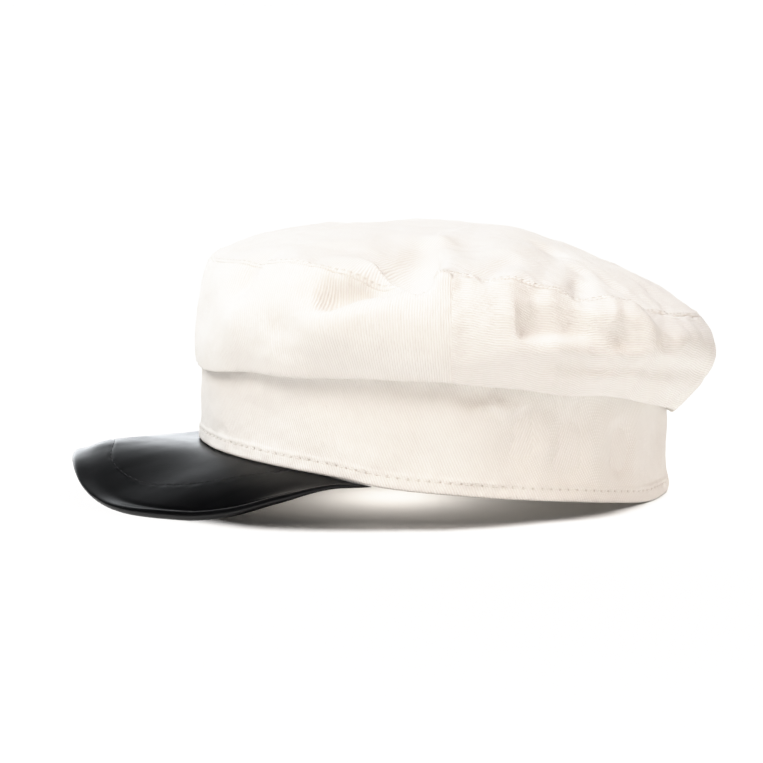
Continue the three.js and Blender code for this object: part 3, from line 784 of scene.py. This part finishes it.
def crown_cloth(angles, ways, wrap):
    """The crown's finished cloth on a grid: points, outward directions, and how far each point is
    from the top seam in mm."""
    way, angle = np.meshgrid(ways, angles, indexing="ij")
    base = crown_base(angle, way)
    base[..., 2] -= crown_drop(angle, way)
    out = normals_of(base, wrap)
    # at the seam, top and side share one outward direction, so that their edges stay together
    rim = [normals_of(crown_base(*np.broadcast_arrays(angles[None], w[:, None])), wrap).mean(0)
           for w in (np.array([0.97, 0.985]), np.array([1.015, 1.03]))]
    rim = unit(rim[0] + rim[1])
    run = run_down(base)
    seam_run = np.abs(run - np.array([np.interp(1.0, ways, run[:, k]) for k in range(len(angles))]))
    near_rim = hump(seam_run, 0, RIM_REACH)[..., None]
    out = unit(out * (1 - near_rim) + rim[None] * near_rim)

    calm = crown_fade(way)
    relief = -creased(crown_base, CREASES, angle, way, crown_spread) * calm
    middle = base - np.array([0, CROWN_SETBACK, 0])
    wander = middle + 5 * np.stack([ripples(middle, 45, seed) for seed in (3, 4, 5)], -1)
    relief += 0.22 * ripples(wander, 32, 11) * (0.35 + 0.65 * calm)
    relief += 0.08 * ripples(wander, 14, 12) * (0.3 + 0.7 * calm)
    relief += 0.025 * ripples(middle, 6, 13)
    # the seam draws the cloth into small puckers
    pull = np.exp(-seam_run / PUCKER_REACH)
    relief += pull * (0.22 * ripples(middle, 9, 21) + 0.08 * ripples(middle, 4.5, 22))
    relief += hump(seam_run, *SEAM_BEAD)
    # the front of the crown is rounded over, with hardly a corner at the seam
    relief += at_front(angle) * hump(seam_run, *SHOULDER)
    return base + out * relief[..., None], out, seam_run


def turned_under(grid, out, sinks):
    """Rows that lead an edge's last row inwards, one for each depth in mm."""
    return np.stack([grid - out * depth for depth in sinks])


def backs(grid, out, every):
    """The cloth's inner face, in rows that run back from its last one."""
    return (grid - out * CROWN_WALL)[::-1][2::every]


def wrapped(values):
    """A grid with its first column once more at the end."""
    return np.concatenate([values, values[:, :1]], 1)


SEAM_LIP = 0.5      # radius in mm over which the cloth rolls into the top seam
NO_STITCH = -1.0    # stands in the stitch map where no stitches run
LINING_STEP = 5     # rows of the outer face for one row of the inner face
TOP_ANGLES = np.linspace(-90, 270, 600, endpoint=False)
TOP_WAYS = rows((0.0006, 0.9, 78), (0.9, 1.0, 26))

top, top_out, top_run = crown_cloth(TOP_ANGLES, TOP_WAYS, True)
top = top - top_out * lip(top_run, SEAM_LIP)[..., None]
top_edge = turned_under(top[-1], top_out[-1], [0.8, 2.0])
top_grid = np.concatenate([top, top_edge, backs(top, top_out, LINING_STEP)])

top_map = np.stack([wrapped(top_grid[..., 1]), wrapped(-top_grid[..., 0])], -1)
seam_across = np.full(top_grid.shape[:2], NO_STITCH)
seam_across[:len(top_run)] = top_run
seam_along = np.radians([*TOP_ANGLES, 270]) * SEAM_ROUND
stitch_map = np.stack([np.broadcast_to(seam_along, wrapped(seam_across).shape), wrapped(seam_across)], -1)
crown_top = piece("crown_top_cloth", top_grid, TOP_CLOTH, ["crown_top"],
                  {"Cloth": top_map, "Stitch": stitch_map}, wrap=True)


# How far the lower fold wanders up and down and in and out, in mm, and its hang below the ledge
FOLD_RISE, FOLD_SWAY, FOLD_HANG = 0.45, 0.5, (1.99, 0.07, 1.3)
# The cloth beside the side seams in mm: its soft bead, its puckers, its turned-in edge
END_BEAD, END_PUCKER, END_PUCKER_REACH, TURNED_IN = (1.2, 1.8, 0.25), 0.16, 5, 2.2
END_STEP = 0.05     # degrees between the last two columns at a side seam


def side_panel(name, first, last, count, material, stands_for):
    """One of the crown's two side panels, between the angles first and last."""
    angles = np.concatenate([[first, first + END_STEP], np.linspace(first, last, count)[1:-1],
                             [last - END_STEP, last]])
    ways = rows((1.0, 1.12, 18), (1.12, 1.9, 56), (1.9, 2.0, 14), (2.0, 2 + LEDGE_WAY, 12))
    cloth, out, seam_run = crown_cloth(angles, ways, False)
    cloth = cloth - out * lip(seam_run, SEAM_LIP)[..., None]
    # the lower fold wanders a little, and its cloth is rounded over
    way, angle = np.meshgrid(ways, angles, indexing="ij")
    hang = smooth(way, 1.7, 2.0) * (1 - 0.7 * smooth(way, 2.0, 2.3))
    round_about = np.stack([np.cos(np.radians(angle)), np.sin(np.radians(angle)), 0 * angle], -1)
    cloth[..., 2] += FOLD_RISE * ripples(100 * round_about, 42, 31) * hang
    cloth += FOLD_SWAY * round_about * (ripples(100 * round_about, 33, 32) * hang)[..., None]
    relax(cloth, 0.5 * hump(ways, 2.0, 0.03)[1:-1, None, None], 8)
    # its edge hangs below the ledge behind it
    cloth[..., 2] -= hump(way, *FOLD_HANG)
    # a soft bead and puckers run beside the side seams
    end_run = np.minimum(angle - first, last - angle) * np.pi / 180 * CROWN_RADIUS
    pucker = np.exp(-end_run / END_PUCKER_REACH) * END_PUCKER * ripples(cloth, 7, 41)
    cloth = cloth + out * (hump(end_run, *END_BEAD) + pucker)[..., None]

    lining = backs(cloth, normals_of(cloth, False), LINING_STEP)
    tucked = turned_under(cloth[0], out[0], [2.0, 0.8])
    grid = np.concatenate([tucked, cloth, lining])
    deep = np.concatenate([out[:1], out[:1], out, np.repeat(out[-1:], len(lining), 0)])
    grid = np.concatenate([grid[:, :1] - TURNED_IN * deep[:, :1], grid,
                           grid[:, -1:] - TURNED_IN * deep[:, -1:]], 1)

    u = np.radians(np.pad(angles, 1, mode="edge")) * SIDE_ROUND
    v = -run_down(grid)
    return piece(name, grid, material, [stands_for],
                 {"Cloth": np.stack([np.broadcast_to(u, v.shape), v], -1)})


FAR_SEAM = 180 - SIDE_SEAM
front_panel = side_panel("crown_front_cloth", FAR_SEAM, 360 + SIDE_SEAM, 330, FRONT_CLOTH,
                         "crown_front_panel")
back_panel = side_panel("crown_back_cloth", SIDE_SEAM, FAR_SEAM, 390, BACK_CLOTH, "crown_back_panel")


# Headband
def band_fade(height):
    """1 in the middle of the band, 0 at its edges, which no dent shifts."""
    return 1 - smooth(np.abs(height - 0.42), 0.25, 0.4)


band_base = dented(band_face, BAND_BASE_FOLDS, 0, band_fade)
BAND_ANGLES = np.linspace(-90, 270, 620, endpoint=False)
BAND_LEVELS = rows((1.0, 0.22, 46), (0.22, 0.03, 26), (0.03, 0.0, 6))
INSIDE_ROWS = 14
# The turned hem in mm: where it ends, how thick it is, its stitches' groove and puckers, its edge
HEM_FROM, HEM_TO, HEM_RISE, EDGE_LIP = 6.0, 7.6, 0.38, 0.9
HEM_GROOVE, HEM_PUCKERS, EDGE_BEAD = (HEM_STITCH, 0.8, 0.2), (5.5, 3.2, 0.16), (1.4, 1.3, 0.26)


def band_cloth():
    """The headband's finished outer face on a grid, and its outward directions."""
    height, angle = np.meshgrid(BAND_LEVELS, BAND_ANGLES, indexing="ij")
    base = band_base(angle, height)
    out = normals_of(base, True)
    up = BAND_HEIGHT * height
    relief = -creased(band_base, BAND_CREASES, angle, height, band_spread)
    relief += 0.30 * ripples(base, 34, 51) * smooth(up, 2, 14)
    relief += 0.12 * ripples(base, 14, 52)
    relief += 0.04 * ripples(base, 6, 53)
    # the turned hem with its row of stitches
    relief += HEM_RISE * (1 - smooth(up, HEM_FROM, HEM_TO))
    relief -= hump(up, *HEM_GROOVE)
    relief += hump(up, *EDGE_BEAD)
    relief += ripples(base, 8, 54) * hump(up, *HEM_PUCKERS)
    relief -= lip(up, EDGE_LIP)
    return base + out * relief[..., None], out


band, band_out = band_cloth()
height, angle = np.meshgrid(np.linspace(0, 1, INSIDE_ROWS), BAND_ANGLES, indexing="ij")
band_inside = band_face(angle, height, -BAND_WALL)
band_inside[0] = band_face(BAND_ANGLES, 0.0, -BAND_WALL + 0.5)
band_grid = np.concatenate([band, band_inside])
band_u = np.concatenate([BAND_ANGLES, [270]]) * np.pi / 180 * BAND_ROUND
band_v = np.concatenate([BAND_LEVELS * BAND_HEIGHT, -np.linspace(1, 1 + BAND_HEIGHT, INSIDE_ROWS)])
band_map = np.stack(np.broadcast_arrays(band_u[None], band_v[:, None]), -1)
headband = piece("headband_cloth", band_grid, BAND_CLOTH, ["headband"],
                 {"Cloth": band_map, "Stitch": band_map}, wrap=True)

# Visor. Half of its arc of stitches: turn from the middle in degrees, way from the band (0) to the roll (1)
STITCH_ARC = {"turn": [0, 6, 10, 13, 17.5, 21.5, 27.5, 32.5,
                       38, 43, 45.5, 49, 51, 54, 56.5],
              "way": [0.718, 0.763, 0.783, 0.783, 0.773, 0.753, 0.728, 0.698,
                      0.622, 0.547, 0.492, 0.346, 0.251, 0.141, -0.02]}
TURN_MM, WAY_MM = 1.4, 50   # rough mm on the board for one degree, and for the whole way


def arc_path():
    """The visor's row of stitches on the board's face, from one foot of the arc to the other."""
    turns, ways = np.array(STITCH_ARC["turn"]), np.array(STITCH_ARC["way"])
    turns = np.concatenate([-turns[:0:-1], turns])
    ways = np.concatenate([ways[:0:-1], ways])
    t = np.concatenate([[0], np.cumsum(np.hypot(np.diff(turns) * TURN_MM, np.diff(ways) * WAY_MM))])
    fine = np.linspace(0, t[-1], 240)
    places = np.stack([np.interp(fine, t, turns), np.interp(fine, t, ways)], 1)
    relax(places, 0.5, 24)
    return visor_face(*places.T)


arc_points = arc_path()
ARC_REACH = 12.0    # distances in mm are worked out up to here


def from_arc(places):
    """Distance in mm to the stitch arc, and how far along it."""
    flat = places.reshape(-1, 3)
    near, away, run, *_ = nearest(flat, arc_points[::3], ARC_REACH)
    distance, along_arc = np.full(len(flat), ARC_REACH), np.zeros(len(flat))
    distance[near], along_arc[near] = away, run
    return distance.reshape(places.shape[:-1]), along_arc.reshape(places.shape[:-1])


BOARD_END = 89.0                # turn in degrees at which the board's ends are drawn out
ROLL_FROM, ROLL_TO = 100, -120  # degrees round the roll, from on top of it to under it
TAIL_ANGLE, TAIL_COLUMNS = -19.5, 7
UNDER_ROWS = 14
HOLLOW, HOLLOW_WAY = 1.3, 0.38  # the face's fall beside the band in mm, and the way where it is deepest
CREST_DROP = 0.65               # how much flatter the roll is on top between middle and sides
# Place, width and depth in mm: the stitches' groove and puckers, the groove beside the roll
ARC_GROOVE, ARC_PUCKERS, ROLL_GROOVE = (0, 0.7, 0.3), (0, 2.0, 0.03), (0.6, 1.8, 0.6)
BLEND_STEPS = 220


def drawn_out(end, tip, count):
    """Columns that lead an end of the visor back to a point under the band's edge."""
    middle = end.mean(0)
    shares = np.arange(1, count + 1) / count
    return np.stack([middle + (tip - middle) * t + (end - middle) * (1 - t) ** 0.8 for t in shares], 1)


def visor_leather():
    """Board and rolled edge in one skin: its face runs over the roll and back underneath."""
    turns = np.linspace(-BOARD_END, BOARD_END, 330)
    ways = rows((-1.0, 0.0, 4), (0.0, 0.88, 66), (0.88, 0.985, 16))
    way, turn = np.meshgrid(ways, turns, indexing="ij")
    face = visor_face(turn, way)
    # beside the middle the board falls off from the band at once
    share = np.maximum(way, 0) / HOLLOW_WAY
    off_middle = np.abs(turn)
    beside = smooth(off_middle, 4, 30) * (1 - smooth(off_middle, 50, 80))
    face[..., 2] -= HOLLOW * beside * share * np.exp(1 - share)
    # columns run from the right corner to the left one, so rows out from the band turn faces up
    out = normals_of(face, False)
    run = run_down(face)
    side = smooth(off_middle, 28, 50)
    distance, along_arc = from_arc(face)
    relief = 0.05 * ripples(face, 40, 61) + 0.01 * ripples(face, 12, 62)
    relief -= hump(distance, *ARC_GROOVE)
    relief += ripples(face, 6, 63) * hump(distance, *ARC_PUCKERS)
    relief -= side * hump(run[-1:] - run, *ROLL_GROOVE)
    top_face = face + out * relief[..., None]

    phi, turn = np.meshgrid(np.radians(np.linspace(ROLL_FROM, ROLL_TO, 28)), turns, indexing="ij")
    radius = roll_radius(turn)
    roll = rim_place(turn, radius)
    outwards = unit(rim_place(turn, 0 * turn) - rim_place(turn, 0 * turn + 1))
    wobble = 0.08 * ripples(roll, 26, 71) + 0.035 * ripples(roll, 7, 72)
    roll += outwards * ((radius + wobble) * np.cos(phi))[..., None]
    crest = 1 - CREST_DROP * smooth(np.abs(turn), 6, 18) * (1 - smooth(np.abs(turn), 28, 52))
    roll[..., 2] += radius + np.where(phi > 0, crest, 1) * radius * np.sin(phi)
    skin = np.concatenate([top_face, roll])

    # face and roll run into each other: softly at the front, in a shallow groove at the sides
    row = np.arange(len(skin))[:, None] - len(ways)
    zone = smooth(row, -22, -8) * (1 - smooth(row, 6, 15))
    soft = 0.5 * zone * (0.06 + 0.16 * (1 - smooth(np.abs(turns), 8, 40)))[None]
    relax(skin, soft[1:-1, :, None], BLEND_STEPS)

    under = visor_face(*np.meshgrid(turns, np.linspace(0.98, -1, UNDER_ROWS)))
    under[..., 2] -= VISOR_BOARD * visor_at(turns, "thick")[None]
    grid = np.concatenate([skin, under])
    right, left = [drawn_out(end, band_face(angle, 0.0, -0.9) - np.array([0, 0, 0.5]), TAIL_COLUMNS)
                   for end, angle in ((grid[:, 0], 180 - TAIL_ANGLE), (grid[:, -1], TAIL_ANGLE))]
    grid = np.concatenate([right[:, ::-1], grid, left], 1)
    beyond = ((0, len(grid) - len(ways)), (TAIL_COLUMNS, TAIL_COLUMNS))
    along_arc, distance = np.pad(along_arc, beyond), np.pad(distance, beyond, constant_values=ARC_REACH)
    u = np.pad(turns, TAIL_COLUMNS, mode="edge") * TURN_MM
    piece("visor_leather", grid, VISOR_LEATHER, ["visor", "visor_piping"],
          {"Cloth": np.stack([np.broadcast_to(u, grid.shape[:2]), -run_down(grid)], -1),
           "Stitch": np.stack([along_arc, distance], -1)})


visor_leather()


# Stitches
def read_at(grid, row, col):
    """Points of a grid at fractional rows and columns."""
    i = np.clip(row.astype(int), 0, grid.shape[0] - 2)
    j = np.clip(col.astype(int), 0, grid.shape[1] - 2)
    a, b = (row - i)[:, None], (col - j)[:, None]
    return ((1 - a) * (1 - b) * grid[i, j] + (1 - a) * b * grid[i, j + 1]
            + a * (1 - b) * grid[i + 1, j] + a * b * grid[i + 1, j + 1])


hem_col = np.interp(np.linspace(-89.5, 269, 900), BAND_ANGLES, np.arange(len(BAND_ANGLES)))
hem_row = np.interp(0 * hem_col - HEM_STITCH / BAND_HEIGHT, -BAND_LEVELS, np.arange(len(BAND_LEVELS)))
stitches("hem_stitches", read_at(band, hem_row, hem_col), read_at(band_out, hem_row, hem_col), HEM_PITCH,
         3.0, 0.17, 0.12, 0.35, THREAD)

arc_up = np.broadcast_to([0.0, 0.0, 1.0], arc_points.shape)
stitches("visor_stitches", arc_points - ARC_GROOVE[-1] * arc_up, arc_up, ARC_PITCH, 2.7, 0.18, 0.1, 0.3,
         BLACK_THREAD)

seam_col = np.arange(len(TOP_ANGLES))
seam_row = np.array([np.interp(-SEAM_STITCH, -top_run[:, k], np.arange(len(TOP_WAYS))) for k in seam_col])
stitches("seam_stitches", read_at(top, seam_row, seam_col), top_out[-6], SEAM_PITCH, 2.2, 0.16, 0.12, 0.3,
         THREAD, closed=True)


# Stage
FLOOR_WHITE, REACH = (0.96, 0.95, 0.935, 1), 60
floor_mesh = bpy.data.meshes.new("floor")
floor_mesh.from_pydata([(-REACH, -REACH, 0), (REACH, -REACH, 0), (REACH, REACH, 0), (-REACH, REACH, 0)], [],
                       [(0, 1, 2, 3)])
floor_mesh.materials.append(new_material("floor_white").finished(
    Base_Color=FLOOR_WHITE, Roughness=0.9, Specular_IOR_Level=0.0))
floor = shown("floor", floor_mesh)

world = bpy.data.worlds.new("studio")
SCENE.world = world

# A studio that is bright beyond the cap and dark around the camera, and white along the horizon
BEYOND, SKY_DARK, SKY_BRIGHT, SKY_FALL, HORIZON = (-0.96, -0.10, -0.25), 0.04, 5.0, 5.5, 1.4
sky = Nodes(world)
direction = sky.node("ShaderNodeTexCoord").outputs["Generated"]
beyond = sky.node("ShaderNodeVectorMath", operation="DOT_PRODUCT", Vector=direction)
beyond.inputs[1].default_value = BEYOND
bright = sky.math("POWER", sky.wide(beyond.outputs["Value"], -0.1, 0.95), SKY_FALL)
bright = sky.wide(bright, 0.0, 1.0, SKY_DARK, SKY_BRIGHT)
off_level = sky.math("ABSOLUTE", sky.node("ShaderNodeSeparateXYZ", Vector=direction).outputs["Z"])
horizon = sky.wide(off_level, 0.02, 0.06, HORIZON, 0.0)
background = sky.tree.nodes["Background"]
background.inputs["Color"].default_value = (0.93, 0.965, 1.0, 1)
sky.put(background.inputs["Strength"], sky.math("MAXIMUM", bright, horizon))

# What each light falls on: the cap or the table. Only the cloth shades the table from above.
cap = bpy.data.collections.new("cap")
cloth = bpy.data.collections.new("cloth")
for made in (crown_top, front_panel, back_panel, headband):
    cloth.objects.link(made)
table = bpy.data.collections.new("table")
table.objects.link(floor)
for made in SCENE.collection.objects:
    if made.type == "MESH" and made is not floor:
        cap.objects.link(made)


def light(name, kind, energy, colour):
    lamp = bpy.data.lights.new(name, kind)
    lamp.energy, lamp.color = energy, colour
    return shown(name, lamp)


def sun(name, towards, strength, spread, colour, falls_on):
    """Light that comes from the direction towards, with its spread in degrees."""
    made = light(name, "SUN", strength, colour)
    made.data.angle = math.radians(spread)
    made.rotation_mode = "QUATERNION"
    made.rotation_quaternion = Vector(towards).to_track_quat("Z", "Y")
    made.visible_glossy = False
    made.light_linking.receiver_collection = falls_on
    return made


sun("key", (0.42, -0.58, 0.72), 1.85, 34, (1.0, 1.0, 0.97), cap)
sun("fill", (0.62, 0.22, 0.80), 1.95, 130, (1.0, 0.82, 0.72), cap)
sun("top", (0.0, -0.3, 1.0), 1.45, 40, (0.66, 0.84, 1.0), cap)
overhead = sun("overhead", (0.02, 0.36, 1.0), 3.8, 10, (1.0, 1.0, 1.0), table)
overhead.light_linking.blocker_collection = cloth

# what comes through the thin cloth and falls on the table inside the cap
inside = light("inside", "AREA", 0.016, (1.0, 0.95, 0.89))
inside.data.shape = "DISK"
inside.data.size = 0.046
inside.location = Vector((np.array([26, -20, 30]) + SHIFT) / 1000)
inside.visible_camera = False

# Camera, fitted to the photograph: its picture is 763 pixels wide, at 2.3 pixels for 1 mm of the cap
SENSOR, PICTURE_WIDTH, PIXELS_PER_MM = 36.0, 763, 2.30
ELEVATION, YAW, DISTANCE = math.radians(8.0), math.radians(4.5), 1200.0
AIM = np.array([0.0, -23.3, 46.0])
back = np.array([math.cos(YAW) * math.cos(ELEVATION), -math.sin(YAW) * math.cos(ELEVATION),
                 math.sin(ELEVATION)])
target = AIM + SHIFT
lens = bpy.data.cameras.new("camera")
lens.sensor_width = SENSOR
lens.lens = SENSOR * PIXELS_PER_MM * DISTANCE / PICTURE_WIDTH
lens.clip_start, lens.clip_end = 0.01, 500
camera = shown("camera", lens)
camera.location = Vector((target + back * DISTANCE) / 1000)
camera.rotation_mode = "QUATERNION"
camera.rotation_quaternion = Vector(back).to_track_quat("Z", "Y")
SCENE.camera = camera

# The photograph's soft shoulder in the whites: straight up to 0.6, white from WHITE_AT on
WHITE_AT = 1.2
SHOULDER_CURVE = [(0.5, 0.6), (0.667, 0.79), (0.79, 0.91), (0.9, 0.975)]
view = SCENE.view_settings
view.view_transform = "Standard"
view.use_curve_mapping = True
view.curve_mapping.white_level = (WHITE_AT, WHITE_AT, WHITE_AT)
tone = view.curve_mapping.curves[3].points
for place, level in SHOULDER_CURVE:
    tone.new(place, level)
view.curve_mapping.update()
